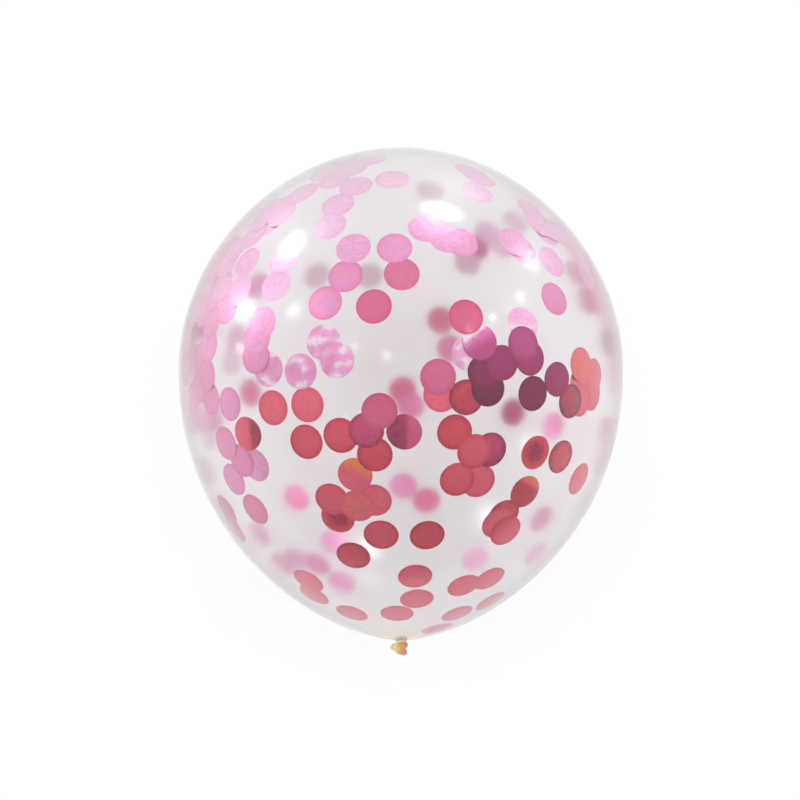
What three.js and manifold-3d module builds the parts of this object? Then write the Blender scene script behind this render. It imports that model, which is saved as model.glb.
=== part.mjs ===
// A clear latex party balloon, inflated, tied off in an overhand knot and lying on its side.
// Millimetres, +Z up. The balloon's own axis runs along Y, with the crown at +Y and the knot at -Y.
// The balloon is sealed, so it is one solid: the skin, its gathered neck, the knot, the tail behind
// the knot and the rolled lip are one moulding of latex. The foil dots shut inside are not solids here.

import * as THREE from "three";
import { mergeVertices } from "three/addons/utils/BufferGeometryUtils.js";
import Module from "manifold-3d";

// Inflated body, measured from its widest circle
const BODY_DIAMETER = 280;
const CROWN_HEIGHT = 140; // widest circle to the crown's pole
const CROWN_POWER = 1.94; // 2 would be a true ellipse
const CROWN_ROOT = 0.515; // 0.5 would be a true ellipse
const TAPER_LENGTH = 171; // widest circle to where the taper would close
const TAPER_POWER = 2.1;
const TAPER_ROOT = 0.6; // above 0.5, so the taper is more pointed than an ellipse
const FLAT_SPOT_DEPTH = 1.5; // how far the skin is pressed in where it rests on the floor

// Gathered neck between the body and the knot
const NECK_RADIUS = 2.8;
const NECK_LENGTH = 2.4; // from where the taper would close to the knot's first wrap
const SHOULDER = 1.6; // how far above the closing point the skin turns into the neck

// Overhand knot: two wraps of the rolled-up neck, and a strand that crosses over them
const STRAND_RADIUS = 2.1;
const UPPER_WRAP_RADIUS = 2.5; // centreline of the wrap next to the body
const LOWER_WRAP_RADIUS = 2.2;
const WRAP_PITCH = 3.3; // between the two wraps' centres, along the axis
const UPPER_WRAP_TILT = 14; // degrees
const LOWER_WRAP_TILT = -20; // degrees
const CROSSING_RADIUS = 1.7;
const CROSSING_RISE = 2.6; // how far the crossing strand's middle stands in front of the axis

// Tail behind the knot, flattened where it flares out to the rolled lip
const TAIL_LENGTH = 13; // from the knot's core down to the lip
const TAIL_BEND = 4; // how far down from the core the tail's curve has turned towards the floor
const TAIL_SWEEP = 1.2; // how far the lip lies beyond the knot's middle, along the axis
const TAIL_LEAN = -1.6; // how far the lip lies to the side, along X
const TAIL_ROOT_RADIUS = 2.4;
const MOUTH_WIDTH = 9; // across the collapsed mouth, between the lip's bead centres
const MOUTH_THICKNESS = 3.8;
const MOUTH_FLARE_START = 0.2; // share of the tail's length where it starts to widen
const LIP_BEAD_RADIUS = 1;

// Facets
const BODY_SEGMENTS = 72; // around the axis
const CROWN_RINGS = 16;
const TAPER_RINGS = 18;
const SHOULDER_RINGS = 4;
const STRAND_SIDES = 10;
const WRAP_STEPS = 24;
const TAIL_STEPS = 8;
const SHORTEST_EDGE = 0.03; // slivers below this, where the joined strands cross, are cleaned away

const bodyRadius = BODY_DIAMETER / 2;
const quarterTurn = Math.PI / 2;

const wasm = await Module();
wasm.setup();

// A closed geometry as a solid that can be joined and cut.
function solidFrom(geometry) {
  const bare = geometry.index ? geometry.toNonIndexed() : geometry.clone();
  bare.deleteAttribute("normal");
  bare.deleteAttribute("uv");
  const merged = mergeVertices(bare, 1e-3);
  return new wasm.Manifold(
    new wasm.Mesh({
      numProp: 3,
      vertProperties: merged.attributes.position.array,
      triVerts: new Uint32Array(merged.index.array),
    }),
  );
}

// A solid back as geometry, with flat-shaded faces.
function geometryFrom(solid) {
  const mesh = solid.getMesh();
  const geometry = new THREE.BufferGeometry();
  geometry.setAttribute(
    "position",
    new THREE.BufferAttribute(mesh.vertProperties, mesh.numProp),
  );
  geometry.setIndex(new THREE.BufferAttribute(mesh.triVerts, 1));
  const faceted = geometry.toNonIndexed();
  faceted.computeVertexNormals();
  return faceted;
}

// Radius of the crown or the taper at a share of its length from the widest circle, 0, to its end, 1.
function crownRadius(share) {
  return bodyRadius * Math.pow(1 - Math.pow(share, CROWN_POWER), CROWN_ROOT);
}

function taperRadius(share) {
  return bodyRadius * Math.pow(1 - Math.pow(share, TAPER_POWER), TAPER_ROOT);
}

// Outline of the body and neck from the neck's end up to the crown, as [radius, place on the axis].
// Rings crowd towards both ends, where the skin turns most.
function bodyOutline() {
  const closingPoint = -TAPER_LENGTH;
  const shoulderPlace = closingPoint + SHOULDER;
  const shoulderShare = 1 - SHOULDER / TAPER_LENGTH;
  const shoulderRadius = taperRadius(shoulderShare);
  const neckEnd = closingPoint - NECK_LENGTH - STRAND_RADIUS;
  const outline = [new THREE.Vector2(0, neckEnd), new THREE.Vector2(NECK_RADIUS, neckEnd)];

  const turn = new THREE.QuadraticBezierCurve(
    new THREE.Vector2(NECK_RADIUS, closingPoint - NECK_LENGTH),
    new THREE.Vector2(NECK_RADIUS, closingPoint),
    new THREE.Vector2(shoulderRadius, shoulderPlace),
  );
  outline.push(...turn.getPoints(SHOULDER_RINGS));

  const lastAngle = Math.asin(shoulderShare);
  for (let ring = TAPER_RINGS - 1; ring > 0; ring--) {
    const share = Math.sin((lastAngle * ring) / TAPER_RINGS);
    outline.push(new THREE.Vector2(taperRadius(share), -TAPER_LENGTH * share));
  }
  for (let ring = 0; ring < CROWN_RINGS; ring++) {
    const share = Math.sin((quarterTurn * ring) / CROWN_RINGS);
    outline.push(new THREE.Vector2(crownRadius(share), CROWN_HEIGHT * share));
  }
  outline.push(new THREE.Vector2(0, CROWN_HEIGHT));
  return outline;
}

function inflatedBody() {
  return solidFrom(new THREE.LatheGeometry(bodyOutline(), BODY_SEGMENTS));
}

// One turn of the rolled-up neck round the axis, tilted about Z and leaning about X, in degrees.
function wrap(centreline, place, tilt, lean) {
  const turn = new THREE.TorusGeometry(centreline, STRAND_RADIUS, STRAND_SIDES, WRAP_STEPS);
  turn.rotateX(quarterTurn);
  turn.rotateX(THREE.MathUtils.degToRad(lean));
  turn.rotateZ(THREE.MathUtils.degToRad(tilt));
  turn.translate(0, place, 0);
  return solidFrom(turn);
}

// A round strand along a curve, closed at both ends.
function strand(curve, radius, steps) {
  const section = new THREE.Shape();
  section.absarc(0, 0, radius, 0, 2 * Math.PI);
  return solidFrom(
    new THREE.ExtrudeGeometry(section, {
      extrudePath: curve,
      steps,
      curveSegments: STRAND_SIDES,
    }),
  );
}

// The knot's two wraps, the core inside them and the strand that crosses from one to the other.
function knot(upperPlace, lowerPlace) {
  const core = new THREE.CylinderGeometry(
    UPPER_WRAP_RADIUS,
    LOWER_WRAP_RADIUS,
    WRAP_PITCH + STRAND_RADIUS,
    WRAP_STEPS,
  );
  core.translate(0, (upperPlace + lowerPlace) / 2, 0);
  const crossing = new THREE.CatmullRomCurve3([
    new THREE.Vector3(-UPPER_WRAP_RADIUS, upperPlace + STRAND_RADIUS / 2, 0),
    new THREE.Vector3(-UPPER_WRAP_RADIUS / 2, upperPlace, CROSSING_RISE),
    new THREE.Vector3(LOWER_WRAP_RADIUS / 2, lowerPlace, CROSSING_RISE),
    new THREE.Vector3(LOWER_WRAP_RADIUS, lowerPlace - STRAND_RADIUS / 2, 0),
  ]);
  return solidFrom(core)
    .add(wrap(UPPER_WRAP_RADIUS, upperPlace, UPPER_WRAP_TILT, 0))
    .add(wrap(LOWER_WRAP_RADIUS, lowerPlace, LOWER_WRAP_TILT, LOWER_WRAP_TILT))
    .add(strand(crossing, CROSSING_RADIUS, WRAP_STEPS / 2));
}

// The tail's centreline: out of the knot's underside, then down to the lip.
function tailCurve(start) {
  return new THREE.QuadraticBezierCurve3(
    new THREE.Vector3(0, start, 0),
    new THREE.Vector3(0, start - TAIL_SWEEP, -TAIL_BEND),
    new THREE.Vector3(TAIL_LEAN, start - TAIL_SWEEP, -TAIL_LENGTH),
  );
}

// The square frame at a share along the tail: across runs mostly along X, and depth is square to both.
function frameOn(curve, share) {
  const centre = curve.getPointAt(share);
  const along = curve.getTangentAt(share);
  const depth = new THREE.Vector3().crossVectors(along, new THREE.Vector3(1, 0, 0)).normalize();
  const across = new THREE.Vector3().crossVectors(depth, along);
  return { centre, across, depth, along };
}

// A cylinder laid along the tail's centreline, and widened and flattened on its way to the mouth.
function tail(curve) {
  const tube = new THREE.CylinderGeometry(1, 1, 1, 2 * STRAND_SIDES, TAIL_STEPS);
  const position = tube.getAttribute("position");
  const point = new THREE.Vector3();
  for (let i = 0; i < position.count; i++) {
    point.fromBufferAttribute(position, i);
    const share = point.y + 0.5;
    const flare = THREE.MathUtils.smoothstep(share, MOUTH_FLARE_START, 1);
    const halfWidth = THREE.MathUtils.lerp(TAIL_ROOT_RADIUS, MOUTH_WIDTH / 2, flare);
    const halfDepth = THREE.MathUtils.lerp(TAIL_ROOT_RADIUS, MOUTH_THICKNESS / 2, flare);
    const { centre, across, depth } = frameOn(curve, share);
    centre.addScaledVector(across, point.x * halfWidth);
    centre.addScaledVector(depth, -point.z * halfDepth);
    position.setXYZ(i, centre.x, centre.y, centre.z);
  }
  return solidFrom(tube);
}

// The rolled bead round the collapsed mouth: a ring bent to an oval, with a round section all the way.
function rolledLip(curve) {
  const ring = new THREE.TorusGeometry(1, 0.5, STRAND_SIDES, WRAP_STEPS);
  const position = ring.getAttribute("position");
  const { centre, across, depth, along } = frameOn(curve, 1);
  const point = new THREE.Vector3();
  for (let i = 0; i < position.count; i++) {
    point.fromBufferAttribute(position, i);
    const around = Math.atan2(point.y, point.x);
    const outside = (Math.hypot(point.x, point.y) - 1) * 2 * LIP_BEAD_RADIUS;
    const below = point.z * 2 * LIP_BEAD_RADIUS;
    const place = centre.clone();
    place.addScaledVector(across, (MOUTH_WIDTH / 2 + outside) * Math.cos(around));
    place.addScaledVector(depth, (MOUTH_THICKNESS / 2 + outside) * Math.sin(around));
    place.addScaledVector(along, below);
    position.setXYZ(i, place.x, place.y, place.z);
  }
  return solidFrom(ring);
}

// A block whose top face is the floor that presses the skin flat.
function floorBlock() {
  const side = 2 * BODY_DIAMETER;
  const block = new THREE.BoxGeometry(side, side, BODY_DIAMETER);
  block.translate(0, 0, -bodyRadius + FLAT_SPOT_DEPTH - BODY_DIAMETER / 2);
  return solidFrom(block);
}

function balloonSolid() {
  const upperWrapPlace = -TAPER_LENGTH - NECK_LENGTH - STRAND_RADIUS;
  const lowerWrapPlace = upperWrapPlace - WRAP_PITCH;
  const curve = tailCurve((upperWrapPlace + lowerWrapPlace) / 2);
  return inflatedBody()
    .add(knot(upperWrapPlace, lowerWrapPlace))
    .add(tail(curve))
    .add(rolledLip(curve))
    .simplify(SHORTEST_EDGE)
    .subtract(floorBlock());
}

const clearLatex = new THREE.MeshStandardMaterial({
  color: 0xf1eef0,
  roughness: 0.12,
  metalness: 0,
  transparent: true,
  opacity: 0.3,
});

const balloon = new THREE.Mesh(geometryFrom(balloonSolid()), clearLatex);
balloon.name = "balloon";

// The origin is on the floor, under the middle of the whole balloon's box.
const box = new THREE.Box3().setFromObject(balloon);
const middle = box.getCenter(new THREE.Vector3());
balloon.position.set(-middle.x, -middle.y, -box.min.z);

const part = new THREE.Group();
part.name = "confetti_balloon";
part.add(balloon);

export default part;
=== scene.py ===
# A clear party balloon with round foil dots sealed inside, lying on its side on a pale floor.
# Metres, +Z up. The balloon's own axis runs along Y, with the crown at +Y and the knot at -Y.
import math
import random

import bmesh
import bpy
from mathutils import Matrix, Vector


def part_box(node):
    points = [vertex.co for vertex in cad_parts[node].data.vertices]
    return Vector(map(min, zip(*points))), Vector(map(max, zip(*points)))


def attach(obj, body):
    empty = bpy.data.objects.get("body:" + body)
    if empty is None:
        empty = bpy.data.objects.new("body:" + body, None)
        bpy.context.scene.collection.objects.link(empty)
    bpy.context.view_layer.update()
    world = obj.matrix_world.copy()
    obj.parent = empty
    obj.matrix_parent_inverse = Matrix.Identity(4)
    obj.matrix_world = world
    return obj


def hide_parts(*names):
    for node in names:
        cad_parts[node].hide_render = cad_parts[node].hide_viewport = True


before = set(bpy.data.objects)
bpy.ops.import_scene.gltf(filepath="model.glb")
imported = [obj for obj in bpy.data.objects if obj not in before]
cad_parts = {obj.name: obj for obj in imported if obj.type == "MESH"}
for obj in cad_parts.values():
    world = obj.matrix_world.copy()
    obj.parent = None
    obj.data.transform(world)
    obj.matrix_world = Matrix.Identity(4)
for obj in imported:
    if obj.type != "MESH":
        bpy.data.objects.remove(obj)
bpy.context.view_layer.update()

# Inflated body. Its width, its crown and the floor that it rests on come from the frame.
bodyShape = {
    "crownHeight": 0.140,  # widest circle to the crown's pole
    "crownPower": 1.94,  # 2 would be a true ellipse
    "crownRoot": 0.515,
    "taperLength": 0.171,  # widest circle to where the taper would close
    "taperPower": 2.1,
    "taperRoot": 0.6,
    "skinThickness": 0.00018,
}

lowCorner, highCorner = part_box("balloon")
bodyRadius = (highCorner.x - lowCorner.x) / 2
floorHeight = lowCorner.z
axisHeight = highCorner.z - bodyRadius
widestPlace = highCorner.y - bodyShape["crownHeight"]
closingPlace = widestPlace - bodyShape["taperLength"]
axisPoint = Vector((0, widestPlace, axisHeight))

cameraSetup = {
    "distance": 0.95,  # from the balloon's axis
    "lens": 67.2,
    "place": (-0.0006, -0.0191),  # right of and above the widest circle's centre
    "roll": 0.0,  # degrees
}
cameraPoint = axisPoint + Vector((*cameraSetup["place"], cameraSetup["distance"]))


def wallRadius(along):
    # Radius of the skin at a distance along the axis from the widest circle, crown side positive.
    if along >= 0:
        share = min(along / bodyShape["crownHeight"], 1)
        return bodyRadius * (1 - share ** bodyShape["crownPower"]) ** bodyShape["crownRoot"]
    share = min(-along / bodyShape["taperLength"], 1)
    return bodyRadius * (1 - share ** bodyShape["taperPower"]) ** bodyShape["taperRoot"]


def wallGap(point):
    # Below zero inside the skin and above zero outside it.
    along = point.y - widestPlace
    out = math.hypot(point.x, point.z - axisHeight) / bodyRadius
    if along >= 0:
        share = along / bodyShape["crownHeight"]
        return share ** bodyShape["crownPower"] + out ** (1 / bodyShape["crownRoot"]) - 1
    share = -along / bodyShape["taperLength"]
    return share ** bodyShape["taperPower"] + out ** (1 / bodyShape["taperRoot"]) - 1


def wallSlope(point):
    step = 0.0002
    slope = Vector()
    for side in range(3):
        offset = Vector()
        offset[side] = step
        slope[side] = (wallGap(point + offset) - wallGap(point - offset)) / (2 * step)
    return slope


def ontoWall(point, inset):
    # The nearest place on the skin, moved inwards by inset and kept off the flat spot.
    place = point.copy()
    for _ in range(3):
        slope = wallSlope(place)
        place -= slope * (wallGap(place) / slope.length_squared)
    place -= wallSlope(place).normalized() * inset
    place.z = max(place.z, floorHeight + inset)
    return place


# How far the line of sight is searched on both sides of the axis, in body radii, and in how many steps
sightLine = {"reach": 1.2, "steps": 340}


def seenPlace(across, up, behind=False):
    # The place on the front wall, or the back one, that the camera sees at this point of the
    # plane through the axis: millimetres right of and above the widest circle's centre. A line
    # that passes the balloon gives the place that it passes nearest.
    target = axisPoint + Vector((across / 1000, up / 1000, 0))
    line = (target - cameraPoint).normalized()
    middle = (target - cameraPoint).length
    reach = bodyRadius * sightLine["reach"]
    steps = sightLine["steps"]
    nearest = None
    for step in range(steps + 1):
        away = reach * (2 * step / steps - 1)
        point = cameraPoint + line * (middle - away if behind else middle + away)
        gap = wallGap(point)
        if nearest is None or gap < nearest[0]:
            nearest = (gap, point)
        if gap <= 0:
            break
    return ontoWall(nearest[1], 0)


def newPiece(name, bm, material, smooth=True):
    mesh = bpy.data.meshes.new(name)
    bm.to_mesh(mesh)
    bm.free()
    mesh.materials.append(material)
    if smooth is not None:
        mesh.polygons.foreach_set("use_smooth", [smooth] * len(mesh.polygons))
    piece = bpy.data.objects.new(name, mesh)
    bpy.context.scene.collection.objects.link(piece)
    return piece


def newMaterial(name):
    material = bpy.data.materials.new(name)
    material.use_nodes = True
    nodes = material.node_tree.nodes
    links = material.node_tree.links
    return material, nodes, links, nodes["Principled BSDF"]


def addNoise(nodes, links, place, setup):
    # Noise on the object's own coordinates, by its scale and detail.
    noise = nodes.new("ShaderNodeTexNoise")
    noise.inputs["Scale"].default_value = setup[0]
    noise.inputs["Detail"].default_value = setup[1]
    links.new(place.outputs["Object"], noise.inputs["Vector"])
    return noise


def fillRamp(ramp, tints):
    # Sets a colour ramp from its places and colours, in rising order.
    stops = ramp.color_ramp.elements
    stops[0].position = tints[0][0]
    stops[-1].position = tints[-1][0]
    for place, _ in tints[1:-1]:
        stops.new(place)
    for stop, (_, colour) in zip(stops, tints):
        stop.color = (*colour, 1)


# Clear latex: see-through by plain values, with a faint amber where the skin stays thick near the knot.
latexLook = {
    "clear": (0.918, 0.900, 0.907, 1),
    "thick": (0.85, 0.832, 0.842, 1),  # less stretched, towards the neck
    "thickStart": 0.02,  # below the widest circle
    "crown": (0.885, 0.874, 0.884, 1),  # a little thicker again at the crown's pole
    "crownStart": 0.06,  # above the widest circle
    "amber": (0.90, 0.83, 0.70, 1),
    "amberReach": 0.012,  # from the closing point up the taper
    "roughness": 0.11,
    "transmission": 1.0,
    "ior": 1.45,
    "sheen": 0.2,
    "sheenRoughness": 0.35,
}


def clearLatex():
    material, nodes, links, shader = newMaterial("clear_latex")
    shader.inputs["Roughness"].default_value = latexLook["roughness"]
    shader.inputs["IOR"].default_value = latexLook["ior"]
    shader.inputs["Transmission Weight"].default_value = latexLook["transmission"]
    shader.inputs["Sheen Weight"].default_value = latexLook["sheen"]
    shader.inputs["Sheen Roughness"].default_value = latexLook["sheenRoughness"]

    place = nodes.new("ShaderNodeTexCoord")
    parts = nodes.new("ShaderNodeSeparateXYZ")
    links.new(place.outputs["Object"], parts.inputs["Vector"])
    tints = []
    for name, start, full in (
        ("thick", widestPlace - latexLook["thickStart"], closingPlace),
        ("crown", widestPlace + latexLook["crownStart"], widestPlace + bodyShape["crownHeight"]),
        ("amber", closingPlace + latexLook["amberReach"], closingPlace),
    ):
        fade = nodes.new("ShaderNodeMapRange")
        fade.interpolation_type = "SMOOTHSTEP"
        fade.inputs["From Min"].default_value = start
        fade.inputs["From Max"].default_value = full
        links.new(parts.outputs["Y"], fade.inputs["Value"])
        tint = nodes.new("ShaderNodeMix")
        tint.data_type = "RGBA"
        tint.inputs["A"].default_value = latexLook["clear"]
        tint.inputs["B"].default_value = latexLook[name]
        if tints:
            links.new(tints[-1].outputs["Result"], tint.inputs["A"])
        links.new(fade.outputs["Result"], tint.inputs["Factor"])
        tints.append(tint)
    links.new(tints[-1].outputs["Result"], shader.inputs["Base Color"])
    return material


# Skin: outline rings crowd towards both ends, where it turns most.
skinShape = {
    "segments": 160,
    "crownRings": 44,
    "taperRings": 56,
    "shoulder": 0.0016,  # above the closing point, where the skin turns into the neck
    "neckRadius": 0.0028,
    "neckTop": 0.0024,  # below the closing point
    "neckLength": 0.0045,
    "shoulderRings": 8,
    "pleats": 13,
    "pleatDepth": 0.00035,
    "pleatReach": 0.024,
    "pleatInside": 0.004,  # no pleats nearer to the axis than this
    "pleatFade": 0.006,  # from there to their full depth
    "pleatLean": 0.5,  # radians that the pleats shift, to be less even
    "pleatLeans": 3,
}


def skinOutline():
    shape = skinShape
    outline = []
    shoulderShare = 1 - shape["shoulder"] / bodyShape["taperLength"]
    shoulderRadius = wallRadius(-shoulderShare * bodyShape["taperLength"])
    neckTop = closingPlace - shape["neckTop"]
    outline.append((shape["neckRadius"], closingPlace - shape["neckLength"]))
    start = Vector((shape["neckRadius"], neckTop))
    bend = Vector((shape["neckRadius"], closingPlace))
    end = Vector((shoulderRadius, closingPlace + shape["shoulder"]))
    for ring in range(shape["shoulderRings"] + 1):
        share = ring / shape["shoulderRings"]
        spot = start.lerp(bend, share).lerp(bend.lerp(end, share), share)
        outline.append((spot.x, spot.y))
    lastAngle = math.asin(shoulderShare)
    for ring in range(shape["taperRings"] - 1, 0, -1):
        along = -bodyShape["taperLength"] * math.sin(lastAngle * ring / shape["taperRings"])
        outline.append((wallRadius(along), widestPlace + along))
    for ring in range(shape["crownRings"]):
        along = bodyShape["crownHeight"] * math.sin(math.pi / 2 * ring / shape["crownRings"])
        outline.append((wallRadius(along), widestPlace + along))
    outline.append((0, widestPlace + bodyShape["crownHeight"]))
    return outline


def balloonSkin():
    shape = skinShape
    bm = bmesh.new()
    ring = [bm.verts.new((radius, place, axisHeight)) for radius, place in skinOutline()]
    edges = [bm.edges.new(pair) for pair in zip(ring, ring[1:])]
    bmesh.ops.spin(
        bm,
        geom=ring + edges,
        cent=(0, 0, axisHeight),
        axis=(0, 1, 0),
        angle=math.tau,
        steps=shape["segments"],
        use_merge=True,
    )
    bmesh.ops.remove_doubles(bm, verts=bm.verts, dist=1e-6)
    bmesh.ops.recalc_face_normals(bm, faces=bm.faces)
    for vert in bm.verts:
        # Gathered pleats round the neck, fading out up the taper
        rise = vert.co.y - closingPlace
        out = math.hypot(vert.co.x, vert.co.z - axisHeight)
        fade = min(1, max(0, out - shape["pleatInside"]) / shape["pleatFade"])
        fade *= max(0, 1 - rise / shape["pleatReach"])
        around = math.atan2(vert.co.x, vert.co.z - axisHeight)
        lean = shape["pleatLean"] * math.sin(shape["pleatLeans"] * around)
        vert.co.y += shape["pleatDepth"] * fade * math.cos(shape["pleats"] * around + lean)
        vert.co.z = max(vert.co.z, floorHeight)
    skin = newPiece("balloon_skin", bm, clearLatex())
    wall = skin.modifiers.new("wall", "SOLIDIFY")
    wall.thickness = bodyShape["skinThickness"]
    wall.offset = -1
    skin.visible_shadow = False
    return skin


skin = balloonSkin()
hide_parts("balloon")
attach(skin, "root")
print("skin made")


# Knot: two wraps, the strand that crosses them, the tail and the rolled lip, melted into one form.
knotShape = {
    "neckRadius": 0.0028,
    "neckLength": 0.0024,
    "neckOverlap": 0.0002,  # into the skin
    "neckFlare": 1.15,  # top of the core, in neck radii
    "coreTaper": 0.8,  # foot of the core
    "strandRadius": 0.0021,
    "upperWrapRadius": 0.0025,
    "lowerWrapRadius": 0.0022,
    "wrapPitch": 0.0033,
    "upperTilt": 14,  # degrees
    "lowerTilt": -20,
    "crossingRadius": 0.0017,
    "crossingRise": 0.0026,
    "crossingBulge": 1.5,
    "tailLength": 0.013,
    "tailBend": 0.004,
    "tailSweep": 0.0012,
    "tailLean": -0.0016,
    "tailRootRadius": 0.0024,
    "mouthWidth": 0.009,
    "mouthThickness": 0.0038,
    "flareStart": 0.2,
    "lipRadius": 0.001,
    "lipSteps": 40,
    "wrapSides": 16,
    "wrapSteps": 36,
    "voxel": 0.00022,
    "smoothings": 4,
    "smoothFactor": 0.5,
}

amberLook = {
    "roughness": 0.32,
    "ior": 1.5,
    "transmission": 0.25,
    "coat": 0.25,
    "coatRoughness": 0.12,
    # Clear yellow, orange and a rosy brown. Noise spreads them at random, and towards the right the
    # colour is pushed to the brown end as painted shade.
    "tints": [(0.14, (0.97, 0.86, 0.34)), (0.36, (0.96, 0.55, 0.15)), (0.64, (0.74, 0.32, 0.27))],
    "cloud": (130, 2),  # scale and detail of the noise
    "shadeReach": 0.004,  # from the axis to where the painted shade is deepest, on the right
    "shadeSwing": 0.35,
    "crease": (900, 4),
    "creaseStrength": 0.35,
    "creaseDepth": 0.0002,
}


def amberLatex():
    look = amberLook
    material, nodes, links, shader = newMaterial("amber_latex")
    shader.inputs["Roughness"].default_value = look["roughness"]
    shader.inputs["IOR"].default_value = look["ior"]
    shader.inputs["Transmission Weight"].default_value = look["transmission"]
    shader.inputs["Coat Weight"].default_value = look["coat"]
    shader.inputs["Coat Roughness"].default_value = look["coatRoughness"]
    place = nodes.new("ShaderNodeTexCoord")
    cloud = addNoise(nodes, links, place, look["cloud"])
    parts = nodes.new("ShaderNodeSeparateXYZ")
    links.new(place.outputs["Object"], parts.inputs["Vector"])
    # Painted shade: the colour runs to the rosy brown end towards the right
    thick = nodes.new("ShaderNodeMapRange")
    thick.inputs["From Min"].default_value = -look["shadeReach"]
    thick.inputs["From Max"].default_value = look["shadeReach"]
    thick.inputs["To Min"].default_value = -look["shadeSwing"]
    thick.inputs["To Max"].default_value = look["shadeSwing"]
    links.new(parts.outputs["X"], thick.inputs["Value"])
    depth = nodes.new("ShaderNodeMath")
    links.new(cloud.outputs["Fac"], depth.inputs[0])
    links.new(thick.outputs["Result"], depth.inputs[1])
    tint = nodes.new("ShaderNodeValToRGB")
    fillRamp(tint, look["tints"])
    links.new(depth.outputs["Value"], tint.inputs["Fac"])
    links.new(tint.outputs["Color"], shader.inputs["Base Color"])
    crease = addNoise(nodes, links, place, look["crease"])
    bump = nodes.new("ShaderNodeBump")
    bump.inputs["Strength"].default_value = look["creaseStrength"]
    bump.inputs["Distance"].default_value = look["creaseDepth"]
    links.new(crease.outputs["Fac"], bump.inputs["Height"])
    links.new(bump.outputs["Normal"], shader.inputs["Normal"])
    return material


def frameAt(point, along, across):
    # A frame whose Z runs along the strand and whose X lies as near as it can to across.
    depth = along.cross(across).normalized()
    side = depth.cross(along).normalized()
    turned = Matrix((side, depth, along.normalized())).transposed()
    return Matrix.Translation(point) @ turned.to_4x4()


def sweepStrand(bm, frames, widths, depths, sides=20):
    # A closed strand: a capped circle pushed on from frame to frame.
    made = bmesh.ops.create_circle(
        bm, cap_ends=True, segments=sides, radius=1, matrix=Matrix.Identity(4)
    )
    cap = made["verts"][0].link_faces[0]
    corners = [vert.co.copy() for vert in cap.verts]
    for index, place in enumerate(frames):
        if index:
            cap = bmesh.ops.extrude_discrete_faces(bm, faces=[cap])["faces"][0]
        for vert, corner in zip(cap.verts, corners):
            vert.co = place @ Vector((corner.x * widths[index], corner.y * depths[index], 0))


def curvePoint(points, share):
    # A point on the Bezier curve through these control points, of any number.
    while len(points) > 1:
        points = [a.lerp(b, share) for a, b in zip(points, points[1:])]
    return points[0]


def strandAlong(bm, points, across, width, depth, steps=24):
    shares = [step / steps for step in range(steps + 1)]
    small = 0.01
    frames = []
    for share in shares:
        ahead = curvePoint(points, min(share + small, 1))
        back = curvePoint(points, max(share - small, 0))
        frames.append(frameAt(curvePoint(points, share), ahead - back, across))
    sweepStrand(bm, frames, [width(share) for share in shares], [depth(share) for share in shares])


def addWrap(bm, centreline, place, tilt, lean):
    shape = knotShape
    circle = bmesh.ops.create_circle(
        bm,
        segments=shape["wrapSides"],
        radius=shape["strandRadius"],
        matrix=Matrix.Translation((centreline, 0, 0)) @ Matrix.Rotation(math.pi / 2, 4, "X"),
    )["verts"]
    edges = list({edge for vert in circle for edge in vert.link_edges})
    before = set(bm.verts) - set(circle)
    bmesh.ops.spin(
        bm,
        geom=circle + edges,
        cent=(0, 0, 0),
        axis=(0, 0, 1),
        angle=math.tau,
        steps=shape["wrapSteps"],
        use_merge=True,
    )
    turned = Matrix.Rotation(math.radians(tilt), 4, "Z") @ Matrix.Rotation(math.radians(lean), 4, "X")
    upright = turned @ Matrix.Rotation(math.pi / 2, 4, "X")
    bmesh.ops.transform(
        bm,
        matrix=Matrix.Translation((0, place, axisHeight)) @ upright,
        verts=[vert for vert in bm.verts if vert not in before],
    )


def ease(value, start, end):
    share = min(max((value - start) / (end - start), 0), 1)
    return share * share * (3 - 2 * share)


def mix(a, b, share):
    return a + (b - a) * share


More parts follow.
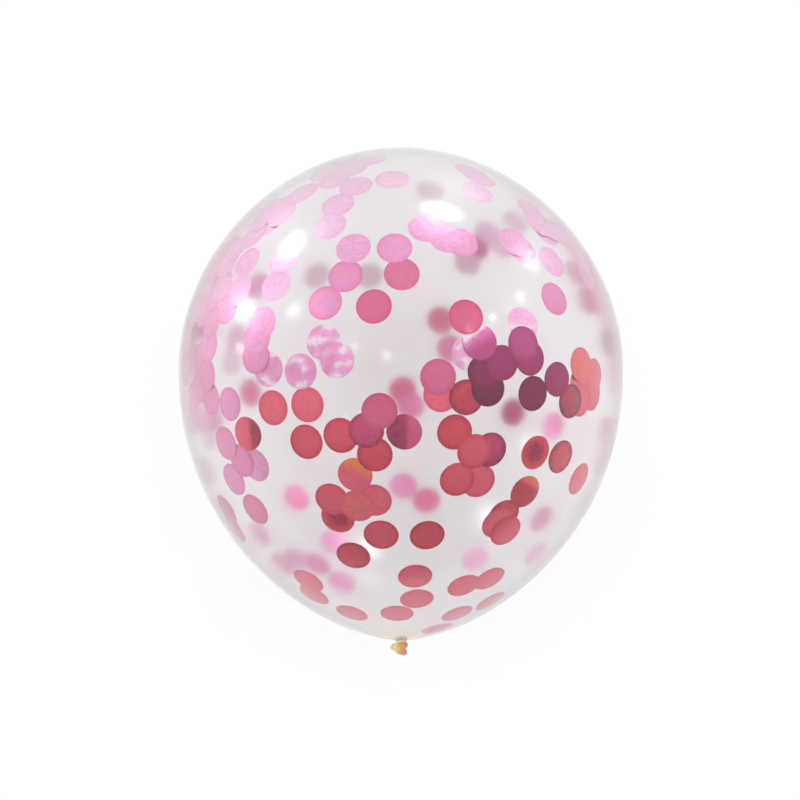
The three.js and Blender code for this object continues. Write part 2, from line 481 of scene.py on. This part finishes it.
def knotPiece():
    shape = knotShape
    bm = bmesh.new()
    upper = closingPlace - shape["neckLength"] - shape["strandRadius"]
    lower = upper - shape["wrapPitch"]
    middle = (upper + lower) / 2

    def spot(x, y, z):
        return Vector((x, y, axisHeight + z))

    def coreRadius(share):
        return shape["neckRadius"] * mix(shape["neckFlare"], shape["coreTaper"], share)

    # Neck and core
    neckTop = closingPlace + shape["neckOverlap"]
    coreEnd = lower - shape["strandRadius"] / 2
    coreLine = [spot(0, neckTop, 0), spot(0, coreEnd, 0)]
    strandAlong(bm, coreLine, Vector((1, 0, 0)), coreRadius, coreRadius)
    addWrap(bm, shape["upperWrapRadius"], upper, shape["upperTilt"], 0)
    addWrap(bm, shape["lowerWrapRadius"], lower, shape["lowerTilt"], shape["lowerTilt"])

    # Strand that crosses from one wrap to the other, in front
    rise = shape["crossingRise"] * shape["crossingBulge"]
    strandAlong(
        bm,
        [
            spot(-shape["upperWrapRadius"], upper + shape["strandRadius"] / 2, 0),
            spot(-shape["upperWrapRadius"] / 2, upper, rise),
            spot(shape["lowerWrapRadius"] / 2, lower, rise),
            spot(shape["lowerWrapRadius"], lower - shape["strandRadius"] / 2, 0),
        ],
        Vector((0, 1, 0)),
        lambda share: shape["crossingRadius"],
        lambda share: shape["crossingRadius"],
    )

    # Tail, widened and flattened to the mouth
    tailPath = [
        spot(0, middle, 0),
        spot(0, middle - shape["tailSweep"], -shape["tailBend"]),
        spot(shape["tailLean"], middle - shape["tailSweep"], -shape["tailLength"]),
    ]

    def flare(share):
        return ease(share, shape["flareStart"], 1)

    strandAlong(
        bm,
        tailPath,
        Vector((1, 0, 0)),
        lambda share: mix(shape["tailRootRadius"], shape["mouthWidth"] / 2, flare(share)),
        lambda share: mix(shape["tailRootRadius"], shape["mouthThickness"] / 2, flare(share)),
        steps=30,
    )

    # Rolled lip round the mouth
    nearEnd = curvePoint(tailPath, 0.98)
    mouth = frameAt(tailPath[-1], tailPath[-1] - nearEnd, Vector((1, 0, 0)))
    turned = mouth.to_3x3()
    width, thickness = shape["mouthWidth"], shape["mouthThickness"]
    frames = []
    for step in range(shape["lipSteps"] + 1):
        angle = math.tau * step / shape["lipSteps"]
        onRing = Vector((math.cos(angle) * width, math.sin(angle) * thickness, 0)) / 2
        onward = Vector((-math.sin(angle) * width, math.cos(angle) * thickness, 0))
        frames.append(frameAt(mouth @ onRing, turned @ onward, turned @ Vector((0, 0, 1))))
    radii = [shape["lipRadius"]] * len(frames)
    sweepStrand(bm, frames, radii, radii, sides=12)

    bmesh.ops.recalc_face_normals(bm, faces=bm.faces)
    rough = newPiece("knot_rough", bm, amberLatex())
    melt = rough.modifiers.new("melt", "REMESH")
    melt.mode = "VOXEL"
    melt.voxel_size = shape["voxel"]
    melted = rough.evaluated_get(bpy.context.evaluated_depsgraph_get())
    meltedMesh = bpy.data.meshes.new_from_object(melted)
    bpy.data.objects.remove(rough)
    fine = bmesh.new()
    fine.from_mesh(meltedMesh)
    for _ in range(shape["smoothings"]):
        bmesh.ops.smooth_vert(
            fine,
            verts=fine.verts,
            factor=shape["smoothFactor"],
            use_axis_x=True,
            use_axis_y=True,
            use_axis_z=True,
        )
    return newPiece("knot", fine, bpy.data.materials["amber_latex"])


knot = knotPiece()
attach(knot, "root")
print("knot made,", len(knot.data.polygons), "faces")


# Foil dots. Each is a disc that lies on the inside of the skin, nearly flat, with its own small bend.
dotShape = {
    "radius": 0.010,
    "thickness": 0.00005,
    "sides": 26,
    "clearance": 0.0003,  # to the skin
    "layerStep": 0.00016,  # between one dot and another that lies over it
    "curl": 0.00014,  # most that a dot's edge curls off the wall
    "tilt": 0.00006,
    "crumple": 0.00022,  # height of a crumpled dot's waves
    "waves": 5,
    "wavePaces": (3, 9),  # radians for each radius
    "tintSpread": (-0.2, 0.25),  # of a dot that has no tint of its own
    # Painted shade: a plain dot darkens from rimStart out to its rim
    "paintedRimShade": 0.3,
    "rimStart": 0.7,  # in radii
    "foldSlope": 0.2,
    "seed": 12,
}

# Each foil's colours along its tint: -2 where it glints, -1 where it catches coloured light, 0 its
# own colour, and on to 1 in deep shade
tintPlaces = (-2, -1, 0, 0.5, 1)
foilLook = {
    "rose_foil": [
        (1, 0.72, 0.84),
        (0.90, 0.27, 0.44),
        (0.80, 0.15, 0.32),
        (0.70, 0.07, 0.19),
        (0.24, 0.008, 0.08),
    ],
    "pink_foil": [
        (1, 0.86, 0.94),
        (0.97, 0.56, 0.82),
        (0.94, 0.41, 0.69),
        (0.88, 0.25, 0.50),
        (0.62, 0.08, 0.24),
    ],
    "plum_foil": [
        (1, 0.90, 0.96),
        (0.74, 0.14, 0.42),
        (0.46, 0.03, 0.18),
        (0.34, 0.010, 0.11),
        (0.20, 0.003, 0.05),
    ],
    "coral_foil": [
        (1, 0.62, 0.42),
        (1, 0.28, 0.07),
        (0.96, 0.15, 0.25),
        (0.79, 0.065, 0.10),
        (0.27, 0.010, 0.09),
    ],
}
foilSurface = {
    "drift": (26, 1),  # scale and detail of each noise
    "blotch": (420, 3),
    "grain": (800, 2),
    "wrinkle": (210, 1),
    "noiseSpan": (0.3, 0.7),
    "driftReach": 0.045,
    "blotchReach": 0.07,
    "blotchSpan": (0.35, 0.6),
    "blotchDark": 0.82,
    "grainRelief": 0.06,
    "roughness": (0.24, 0.38),
    "wrinkleStrength": 0.32,
    "wrinkleDepth": 0.0006,
}

# Dots on the front wall, by group: millimetres right of and above the widest circle's centre, as
# the camera sees them. Where two overlap, the one that comes first here lies next to the skin.
# A third value is the dot's tint, or a word from dotLooks. A tint below 0 paints reflected light onto the
# dot, as on the pale dots round the crown; one above 0 makes it a deeper red and, towards 1, paints shade
# on it.
frontDots = [
    # Under the crown
    ("pink_foil", [(-30, 77.5, -0.5), (-4, 77.5, 0), (-35, 60, 0.2), (-48, 43, 0.25)]),
    ("rose_foil", [(0.5, 61, -0.3), (-17, 40.5, -0.05)]),
    # Light string down from the left of the crown, made pale by painted reflected light
    ("pink_foil", [(-45, 91.5, -1.3), (-40, 105, -1.2), (-28.5, 117, -1.4), (-42, 121, -1.4)]),
    ("pink_foil", [(-32, 128, -1.5), (-5.5, 121.5, -1.5), (-20, 134, -1.4)]),
    ("pink_foil", [(-48, 126, -1.5), (-62, 112.5, -1.3)]),
    ("pink_foil", [(-75.5, 99, -1.1), (-73, 106, -1.1), (-88, 96, -1)]),
    ("pink_foil", [(-84, 103, -1.2), (-93.5, 86, -1)]),
    ("pink_foil", [(-97, 68.5, -0.8), (-104, 78, -0.9), (-110, 68, -0.9)]),
    ("pink_foil", [(-102, 51, -0.5), (-114, 54, -0.6), (-83, 94, -1)]),
    ("pink_foil", [(-74, 71, -1.1), (-79, 54, -0.8), (-88, 30, -0.3), (-91, 20, -0.1), (-92, 9, 0)]),
    ("pink_foil", [(-111, 40), (-119, 47), (-121, 31), (-123, 16), (-124, -3), (-129, -10), (-128, 8)]),
    ("pink_foil", [(-126, 38), (-135, 20), (-136, 0), (-132, 36), (-133, -18), (-118, 64), (-110, 79)]),
    ("pink_foil", [(-125, 58), (-122, -18, 0.2)]),
    # Shiny ones left of the middle
    ("pink_foil", [(-84, 1, "crumpled"), (-63.5, -0.5, "crumpled"), (-40.5, 6.5, "crumpled")]),
    ("pink_foil", [(-49, 18, "crumpled")]),
    # Left, below the widest circle
    ("coral_foil", [(-59, -21.5, -0.05), (-80.5, -23.5, -0.1), (-59.5, -45, 0.3), (-97, -40, "right")]),
    ("pink_foil", [(-110, -21.5, 0.15), (-110.5, -46, 0.15), (-100.5, -57, 0.3)]),
    ("pink_foil", [(-92, -60, -0.2), (-105.5, -69)]),
    ("rose_foil", [(-92, -88, -0.95), (-110, -88, -0.5), (-105, -100, -0.8)]),
    # Heap left of the middle
    ("rose_foil", [(-13.5, -25.5, 0.1), (-22, -38, 0.5), (2, -39, "left")]),
    ("coral_foil", [(-38, -41, 0.35), (-16.5, -53, 0.35), (-29, -66, "orange"), (-27.5, -86, -0.25)]),
    ("coral_foil", [(-44, -82, 0.05), (-17, -82.5, -0.15), (-40, -93.5, "dark")]),
    # Single ones towards the knot
    ("coral_foil", [(-12.5, -104, 0.15), (16.5, -104, 0.2), (-30, -117, 0.3)]),
    ("coral_foil", [(9, -130.5, -0.1), (10, -144.5, 0), (-2.5, -154, -0.05)]),
    ("coral_foil", [(-31, -153.5, -0.05), (-58.5, -133, -0.05)]),
    ("coral_foil", [(-55, -142, 0), (39.5, -136, 0), (56, -132, 0), (35.5, -154, 0), (56.5, -146, 0)]),
    ("coral_foil", [(23, -163.5, 0)]),
    # Heap right of the middle
    ("rose_foil", [(41, 34, 0.2), (23.5, -4, -0.05)]),
    ("plum_foil", [(50, 18, "creased"), (77, 17, -0.4), (81.5, 8, 0.05), (64, 5, 0.2)]),
    ("plum_foil", [(83.5, -14.5, 0.65), (99, -5.5, 0.1), (53, -1, 0.65), (55, -11.5, 0.95)]),
    ("coral_foil", [(41.5, -17, 0.6), (25.5, -15, 0), (107.5, -19.5, 0.7)]),
    ("pink_foil", [(77, 30, "top"), (43, 11, "crumpled"), (96.5, 45.5, 0.1)]),
    ("coral_foil", [(113.5, 4, -0.35), (114, -18.5, 0), (114, -8, -0.1)]),
    ("coral_foil", [(122.5, -3, -0.1), (121.5, -15, 0.1)]),
    # Heap below it
    ("coral_foil", [(46, -51, 0.3), (34, -39, 0.5), (35.5, -69, 0.15)]),
    ("rose_foil", [(56, -50, 0.65)]),
    ("coral_foil", [(85, -52, "dark"), (78, -76.5, "ember"), (66, -101.5, 0.15), (61, -96.5, -0.15)]),
    ("coral_foil", [(49, -70, 0), (65, -91.5, 0.3), (100.5, -54.5, 0.6), (112, -68.5, 0.1)]),
    # Right of the crown
    ("pink_foil", [(15.5, 90, -0.3), (28.5, 84, -0.2), (38, 81.5, 0), (71, 81.5, -0.6)]),
    ("pink_foil", [(75.5, 77, "crumpled"), (95, 69, -0.9), (86.5, 93, -1)]),
    ("pink_foil", [(93.5, 90, -1), (101, 86, -0.8)]),
    ("pink_foil", [(91.5, 88, -0.9), (82.5, 102, -0.9), (44, 126.5, -1.4)]),
    ("pink_foil", [(50, 122, -1.4), (48, 113, -1.4)]),
    ("pink_foil", [(114, 69, -0.6), (117.5, 60, -0.4), (107.5, 82, -0.7)]),
    ("rose_foil", [(133, -50), (130, -62)]),
]

# Dots on the back wall that show through the balloon, tinted as those on the front; the pale ones near
# the crown carry painted reflected light
backDots = [
    ("rose_foil", [(25, 32, -0.6), (-95, -14, -0.6), (16, -82, -0.4), (1, -12.5, -0.1)]),
    ("pink_foil", [(-53, -122.5, 0.4), (-66, -80.5, 0.4)]),
    ("plum_foil", [(71, -26.5, -0.3), (47, 78, -1)]),
    ("pink_foil", [(31, 14), (6, -22, 0.4), (96, -35, 0.4), (1.5, -73), (89, -94), (47, -119.5, -0.4)]),
    ("pink_foil", [(85, -116.5), (-42.5, -108.5, -0.2), (-37.5, -134)]),
    ("pink_foil", [(-65.5, -119.5, -0.3), (-75, -122.5)]),
    ("pink_foil", [(-89.5, -103.5), (-53, 60, -1.8), (-20, 60, -1.9), (-91, 54), (42, 68.5, -1.5)]),
    ("pink_foil", [(55, 87.5, -1.3), (64, 79, -1.3), (72.5, 94, -1.5), (18.5, 114, -1.9), (117, 44.5)]),
    ("pink_foil", [(-107, 6, -1.6), (-104, 20, -1.2), (108, 78), (99, 88)]),
    # Crowded and misty along both sides
    ("pink_foil", [(-132, 20), (-129, 0), (-131, -20), (-126, 40), (-121, 60), (-114, 77), (-124, -12)]),
    ("pink_foil", [(-126, 54), (-130, 44), (-120, 72), (-112, 86)]),
    ("pink_foil", [(-133, 30), (-134, 8), (-128, -30, -0.8)]),
    ("pink_foil", [(-100, 92), (-86, 105), (-33, 131), (-47, 126)]),
    ("pink_foil", [(-118, -30), (-121, 28), (-122, -42, -1.5)]),
    ("rose_foil", [(-128, 28), (-130, 8), (-117, 70), (-113, 60), (118, 60), (121, 45), (114, 74)]),
    ("pink_foil", [(136, 24), (137, 8), (136, -8), (104, 95), (92, 106), (128, 36), (110, 62)]),
    ("pink_foil", [(116, 66), (122, 54), (126, 44), (98, 98), (84, 110)]),
]
# Dots on the sides that face neither way: millimetres above the axis and from the widest circle
# towards the crown, and -1 for the left side or 1 for the right
sideDots = [
    ("pink_foil", [(12, 34, -1), (-9, 14, -1), (6, -14, -1), (-15, -33, -1), (14, 58, -1), (-7, 74, -1)]),
    ("pink_foil", [(-24, 47, -1), (21, 6, -1), (-4, 92, -1), (10, 106, -1), (-30, 2, -1)]),
    ("rose_foil", [(-18, 26, -1), (3, 64, -1), (-20, -70, -1), (16, -92, -1)]),
    ("pink_foil", [(-8, 22, 1), (10, -3, 1), (-13, 43, 1), (5, 64, 1)]),
    ("pink_foil", [(-20, 4, 1), (14, 84, 1), (-5, 103, 1)]),
    ("plum_foil", [(9, -28, 1), (-26, 20, 1)]),
    ("rose_foil", [(18, 48, 1), (-16, 72, 1), (-12, -62, 1), (-4, -98, 1)]),
    ("coral_foil", [(-17, -104, -1), (12, -84, 1), (-22, -40, 1)]),
]

# The dots lie inside the skin, so they look a little nearer to the middle than the wall behind them.
seenSpread = (1.01, 1.006)
seenDrop = 0.4  # millimetres


def foilMaterial(name):
    look = foilSurface
    material, nodes, links, shader = newMaterial(name)
    shader.inputs["Metallic"].default_value = 1
    place = nodes.new("ShaderNodeTexCoord")
    drift = addNoise(nodes, links, place, look["drift"])
    blotch = addNoise(nodes, links, place, look["blotch"])
    grain = addNoise(nodes, links, place, look["grain"])
    wrinkle = addNoise(nodes, links, place, look["wrinkle"])

    # Each dot has its own tint, with the light and shade painted into it, a slow drift runs through its
    # neighbours, and blotches lie over it
    own = nodes.new("ShaderNodeAttribute")
    own.attribute_name = "tint"
    tone = nodes.new("ShaderNodeMath")
    tone.operation = "MULTIPLY_ADD"
    tintSpan = tintPlaces[-1] - tintPlaces[0]
    tone.inputs[1].default_value = 1 / tintSpan
    tone.inputs[2].default_value = -tintPlaces[0] / tintSpan
    links.new(own.outputs["Fac"], tone.inputs[0])
    for noise, reach in ((drift, look["driftReach"]), (blotch, look["blotchReach"])):
        swing = nodes.new("ShaderNodeMapRange")
        swing.inputs["From Min"].default_value = look["noiseSpan"][0]
        swing.inputs["From Max"].default_value = look["noiseSpan"][1]
        swing.inputs["To Min"].default_value = -reach
        swing.inputs["To Max"].default_value = reach
        links.new(noise.outputs["Fac"], swing.inputs["Value"])
        added = nodes.new("ShaderNodeMath")
        links.new(tone.outputs["Value"], added.inputs[0])
        links.new(swing.outputs["Result"], added.inputs[1])
        tone = added
    tint = nodes.new("ShaderNodeValToRGB")
    places = [(value - tintPlaces[0]) / tintSpan for value in tintPlaces]
    fillRamp(tint, list(zip(places, foilLook[name])))
    links.new(tone.outputs["Value"], tint.inputs["Fac"])
    worn = nodes.new("ShaderNodeMapRange")
    worn.inputs["From Min"].default_value = look["blotchSpan"][0]
    worn.inputs["From Max"].default_value = look["blotchSpan"][1]
    worn.inputs["To Min"].default_value = look["blotchDark"]
    links.new(blotch.outputs["Fac"], worn.inputs["Value"])
    mottled = nodes.new("ShaderNodeMix")
    mottled.data_type = "RGBA"
    mottled.blend_type = "MULTIPLY"
    mottled.inputs["Factor"].default_value = 1
    links.new(tint.outputs["Color"], mottled.inputs["A"])
    links.new(worn.outputs["Result"], mottled.inputs["B"])
    links.new(mottled.outputs["Result"], shader.inputs["Base Color"])

    # Fine grain in the gloss, soft wrinkles in the relief
    gloss = nodes.new("ShaderNodeMapRange")
    gloss.inputs["To Min"].default_value = look["roughness"][0]
    gloss.inputs["To Max"].default_value = look["roughness"][1]
    links.new(grain.outputs["Fac"], gloss.inputs["Value"])
    links.new(gloss.outputs["Result"], shader.inputs["Roughness"])
    relief = nodes.new("ShaderNodeMath")
    relief.operation = "MULTIPLY_ADD"
    relief.inputs[1].default_value = look["grainRelief"]
    links.new(grain.outputs["Fac"], relief.inputs[0])
    links.new(wrinkle.outputs["Fac"], relief.inputs[2])
    bump = nodes.new("ShaderNodeBump")
    bump.inputs["Strength"].default_value = look["wrinkleStrength"]
    bump.inputs["Distance"].default_value = look["wrinkleDepth"]
    links.new(relief.outputs["Value"], bump.inputs["Height"])
    links.new(bump.outputs["Normal"], shader.inputs["Normal"])
    return material


def dotTemplate(rings):
    # A flat dot of so many rings of faces, to be bent when it is laid.
    bm = bmesh.new()
    bmesh.ops.create_circle(bm, cap_ends=True, segments=dotShape["sides"], radius=dotShape["radius"])
    bm.faces.ensure_lookup_table()
    middle = bm.faces[0]
    if middle.normal.z < 0:
        middle.normal_flip()
    for _ in range(rings - 1):
        bmesh.ops.inset_individual(bm, faces=[middle], thickness=dotShape["radius"] / rings)
    bmesh.ops.poke(bm, faces=[middle])
    mesh = bpy.data.meshes.new("dot_template")
    bm.to_mesh(mesh)
    bm.free()
    return mesh


chance = random.Random(dotShape["seed"])
plainDot = dotTemplate(3)
fineDot = dotTemplate(6)
laidDots = []
# The way to the side that is bent, and how far from the dot's middle its fold lies, in radii
bentSides = {"left": (math.pi, -0.18), "right": (0, 0.3), "top": (math.pi / 2, 0.08)}

# What each word does to its dot's tint, painting light and shade onto it: a crumpled dot gets painted
# glints and painted shade across its waves, a creased one a lit side, a shaded side and a painted glint
# along its crease, orange and the deep red one a painted orange reflection at their upper right, dark
# painted shade in its middle, top a painted glint along its fold, and left and right painted shade on the
# bent side. A pair holds the places in radii, or for crumpled dots the heights of the waves, between
# which one tint turns into the next.
dotLooks = {
    "crumpled": {"own": -0.15, "swing": 0.6, "glint": (0.18, 0.38)},
    "creased": {
        "way": (-0.6, 0.8),
        "lit": -1.1,
        "shaded": -0.35,
        "turn": (-0.4, 0.4),
        "crease": 0.72,
        "glint": (0.12, 0.3),
    },
    "orange": {"edge": -1.15, "turn": (0, 0.7)},  # at its upper right edge
    "ember": {"own": 0.5, "edge": -1.1, "turn": (0.3, 1.1)},
    "dark": {"middle": 0.8, "own": 0.3, "turn": (0.3, 1)},
    "top": {"own": -0.5, "crease": -0.2, "glint": (0.06, 0.2)},
    "left": {"bent": 0.8, "turn": (-0.2, 0.15)},
    "right": {"bent": 0.8, "turn": (-0.2, 0.15)},
}
glintTint = tintPlaces[0]


def pastFold(kind, x, y):
    way, foldPlace = bentSides[kind]
    return x * math.cos(way) + y * math.sin(way) - foldPlace


def dotTint(kind, tint, x, y, ripple):
    # The tint at a place on a dot, in radii from its middle, with the light and shade that its kind
    # paints.
    look = dotLooks.get(kind)
    if kind == "crumpled":
        return mix(tint + look["swing"] * ripple, glintTint, ease(-ripple, *look["glint"]))
    if kind == "creased":
        past = look["way"][0] * x + look["way"][1] * y
        own = mix(look["shaded"], look["lit"], ease(past, *look["turn"]))
        return mix(glintTint, own, ease(abs(past - look["crease"]), *look["glint"]))
    if kind == "orange":
        return mix(tint, look["edge"], ease(y + x / 2, *look["turn"]))
    if kind == "ember":
        return mix(look["own"], look["edge"], ease(y + x / 2, *look["turn"]))
    if kind == "dark":
        return mix(look["middle"], look["own"], ease(math.hypot(x, y), *look["turn"]))
    if kind == "top":
        return mix(glintTint, look["own"], ease(abs(y - look["crease"]), *look["glint"]))
    if kind in bentSides:
        return mix(tint, look["bent"], ease(pastFold(kind, x, y), *look["turn"]))
    # A plain dot keeps its tint, with painted shade towards its rim
    rimStart = dotShape["rimStart"]
    return tint + dotShape["paintedRimShade"] * max(0, math.hypot(x, y) - rimStart) / (1 - rimStart)


def layDot(bm, tintLayer, centre, kind=None):
    # Lays one dot on the wall round centre, under the dots that are there already.
    radius = dotShape["radius"]
    layer = 0
    for other, otherLayer in laidDots:
        if (other - centre).length < 2 * radius:
            layer = max(layer, otherLayer + 1)
    laidDots.append((centre, layer))

    outward = wallSlope(centre).normalized()
    right = Vector((0, 1, 0)).cross(outward).normalized()
    up = outward.cross(right)
    curlWay = chance.uniform(0, math.pi)
    tiltWay = chance.uniform(0, math.tau)
    curl = dotShape["curl"] * chance.random()
    tilt = dotShape["tilt"] * chance.random()
    ownTint = isinstance(kind, (int, float))
    tint = kind if ownTint else chance.uniform(*dotShape["tintSpread"])
    waves = []
    if kind == "crumpled":
        tint = dotLooks["crumpled"]["own"]
        for _ in range(dotShape["waves"]):
            pace = chance.uniform(*dotShape["wavePaces"])
            waves.append((chance.uniform(0, math.pi), pace, chance.uniform(0, math.tau)))

    firstVert, firstFace = len(bm.verts), len(bm.faces)
    bm.from_mesh(fineDot if isinstance(kind, str) else plainDot)
    bm.verts.ensure_lookup_table()
    bm.faces.ensure_lookup_table()
    lifts = []
    for vert in bm.verts[firstVert:]:
        x, y = vert.co.x / radius, vert.co.y / radius
        lift = curl * (x * math.cos(curlWay) + y * math.sin(curlWay)) ** 2
        lift += tilt * (x * math.cos(tiltWay) + y * math.sin(tiltWay)) / 2
        ripple = 0
        for way, pace, start in waves:
            ripple += math.sin(pace * (x * math.cos(way) + y * math.sin(way)) + start) / len(waves)
        lift += dotShape["crumple"] * ripple
        if kind in bentSides:
            lift += dotShape["foldSlope"] * radius * max(0, pastFold(kind, x, y))
        vert[tintLayer] = dotTint(kind, tint, x, y, ripple)
        lifts.append(lift)
    lowest = min(lifts)
    inset = dotShape["clearance"] + layer * dotShape["layerStep"]
    for vert, lift in zip(bm.verts[firstVert:], lifts):
        flat = centre + right * vert.co.x + up * vert.co.y
        vert.co = ontoWall(flat, inset + lift - lowest)
    for face in bm.faces[firstFace:]:
        face.smooth = True


def foilPieces():
    meshes = {}
    for name in foilLook:
        bm = bmesh.new()
        meshes[name] = (bm, bm.verts.layers.float.new("tint"))
    for behind, groups in ((False, frontDots), (True, backDots)):
        for name, spots in groups:
            bm, tintLayer = meshes[name]
            for spot in spots:
                across, up = spot[0] * seenSpread[0], spot[1] * seenSpread[1] - seenDrop
                centre = seenPlace(across, up, behind)
                layDot(bm, tintLayer, centre, spot[2] if len(spot) > 2 else None)
    for name, spots in sideDots:
        bm, tintLayer = meshes[name]
        for rise, along, side in spots:
            centre = axisPoint + Vector((side * bodyRadius, along / 1000, rise / 1000))
            layDot(bm, tintLayer, ontoWall(centre, 0))
    for name, (bm, _) in meshes.items():
        for edge in bm.edges:
            edge.smooth = not edge.is_boundary
        piece = newPiece(name.replace("_foil", "_dots"), bm, foilMaterial(name), smooth=None)
        wall = piece.modifiers.new("foil", "SOLIDIFY")
        wall.thickness = dotShape["thickness"]
        wall.offset = -1
        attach(piece, "root")
        print(piece.name, "made")


foilPieces()
bpy.data.meshes.remove(plainDot)
bpy.data.meshes.remove(fineDot)
print("dots laid:", len(laidDots))


floorSetup = {"size": 12.0, "gap": 0.0002, "paint": 0.5, "roughness": 0.6, "glow": 0.55}


def paleFloor():
    bm = bmesh.new()
    bmesh.ops.create_grid(bm, x_segments=1, y_segments=1, size=floorSetup["size"] / 2)
    bmesh.ops.translate(bm, verts=bm.verts, vec=(0, 0, floorHeight - floorSetup["gap"]))
    material, _, _, shader = newMaterial("floor_paint")
    shader.inputs["Base Color"].default_value = (*[floorSetup["paint"]] * 3, 1)
    shader.inputs["Roughness"].default_value = floorSetup["roughness"]
    shader.inputs["Emission Color"].default_value = (1, 1, 1, 1)
    shader.inputs["Emission Strength"].default_value = floorSetup["glow"]
    newPiece("floor", bm, material, smooth=False)


paleFloor()
print("floor made")

# Softboxes, each placed by where its glint falls on the skin: millimetres right of and above the
# widest circle's centre, as the camera sees it. They fade out towards their edges.
softboxes = {
    "key": {"glint": (26, 101), "size": (0.56, 0.42), "radiance": 13},
    "second": {"glint": (-68.5, 80.5), "size": (0.40, 0.52), "radiance": 9},
    "round": {"glint": (-68, 37.5), "size": (0.32, 0.32), "radiance": 6},
    "tall": {"glint": (-99, 38), "size": (0.32, 0.60), "radiance": 8},
    "tallFoot": {"glint": (-102.5, 14), "size": (0.14, 0.26), "radiance": 7},
    "right": {"glint": (82, 69), "size": (0.30, 0.36), "radiance": 6},
    "speckLow": {"glint": (-9, 9), "size": (0.11, 0.11), "radiance": 12},
    "speckLeft": {"glint": (-29, 15), "size": (0.12, 0.12), "radiance": 9},
    "speckCrease": {"glint": (44, 25.5), "size": (0.22, 0.06), "radiance": 8},
    "speckRight": {"glint": (58, 33), "size": (0.09, 0.09), "radiance": 45},
    "speckHigh": {"glint": (76, 46), "size": (0.24, 0.24), "radiance": 6},
}
softboxDistance = 1.5
softboxMiddle = 0.5  # of its face, whose own coordinates run from 0 to 1


def addSoftbox(name, setup):
    place = seenPlace(*setup["glint"])
    normal = wallSlope(place).normalized()
    sight = (place - cameraPoint).normalized()
    line = sight.reflect(normal)
    width, height = setup["size"]
    light = bpy.data.lights.new(name, "AREA")
    light.shape = "ELLIPSE"
    light.size = width
    light.size_y = height
    light.energy = setup["radiance"] * math.pi * math.pi * width * height / 4
    light.use_nodes = True
    nodes = light.node_tree.nodes
    links = light.node_tree.links
    where = nodes.new("ShaderNodeNewGeometry")
    away = nodes.new("ShaderNodeVectorMath")
    away.operation = "DISTANCE"
    away.inputs[1].default_value = (softboxMiddle, softboxMiddle, 0)
    fade = nodes.new("ShaderNodeMapRange")
    fade.interpolation_type = "SMOOTHSTEP"
    fade.inputs["From Min"].default_value = softboxMiddle
    fade.inputs["From Max"].default_value = 0
    links.new(where.outputs["Parametric"], away.inputs[0])
    links.new(away.outputs["Value"], fade.inputs["Value"])
    links.new(fade.outputs["Result"], nodes["Emission"].inputs["Strength"])
    lamp = bpy.data.objects.new(name, light)
    lamp.location = place + line * softboxDistance
    lamp.rotation_euler = (-line).to_track_quat("-Z", "Y").to_euler()
    lamp.visible_camera = False
    bpy.context.scene.collection.objects.link(lamp)


for lampName, lampSetup in softboxes.items():
    addSoftbox(lampName, lampSetup)

# Room light: soft from all round, a little brighter and cooler on the crown's side than on the knot's.
roomLight = {
    "dim": 0.66,
    "bright": 1.13,
    "warm": (1.0, 0.955, 0.94, 1),
    "cool": (0.985, 0.985, 1.0, 1),
    "turn": 0.5,  # how far towards the crown's side it goes on rising
}


def addRoomLight():
    world = bpy.data.worlds.new("room")
    world.use_nodes = True
    bpy.context.scene.world = world
    nodes = world.node_tree.nodes
    links = world.node_tree.links
    way = nodes.new("ShaderNodeTexCoord")
    parts = nodes.new("ShaderNodeSeparateXYZ")
    share = nodes.new("ShaderNodeMapRange")
    share.inputs["From Min"].default_value = -1
    share.inputs["From Max"].default_value = roomLight["turn"]
    strength = nodes.new("ShaderNodeMapRange")
    strength.inputs["To Min"].default_value = roomLight["dim"]
    strength.inputs["To Max"].default_value = roomLight["bright"]
    tint = nodes.new("ShaderNodeMix")
    tint.data_type = "RGBA"
    tint.inputs["A"].default_value = roomLight["warm"]
    tint.inputs["B"].default_value = roomLight["cool"]
    background = nodes["Background"]
    links.new(way.outputs["Generated"], parts.inputs["Vector"])
    links.new(parts.outputs["Y"], share.inputs["Value"])
    links.new(share.outputs["Result"], strength.inputs["Value"])
    links.new(share.outputs["Result"], tint.inputs["Factor"])
    links.new(strength.outputs["Result"], background.inputs["Strength"])
    links.new(tint.outputs["Result"], background.inputs["Color"])


addRoomLight()
bpy.context.scene.view_settings.view_transform = "Standard"

cameraData = bpy.data.cameras.new("camera")
cameraData.lens = cameraSetup["lens"]
camera = bpy.data.objects.new("camera", cameraData)
camera.location = cameraPoint
camera.rotation_euler = (0, 0, math.radians(cameraSetup["roll"]))
bpy.context.scene.collection.objects.link(camera)
bpy.context.scene.camera = camera
print("lights and camera set")
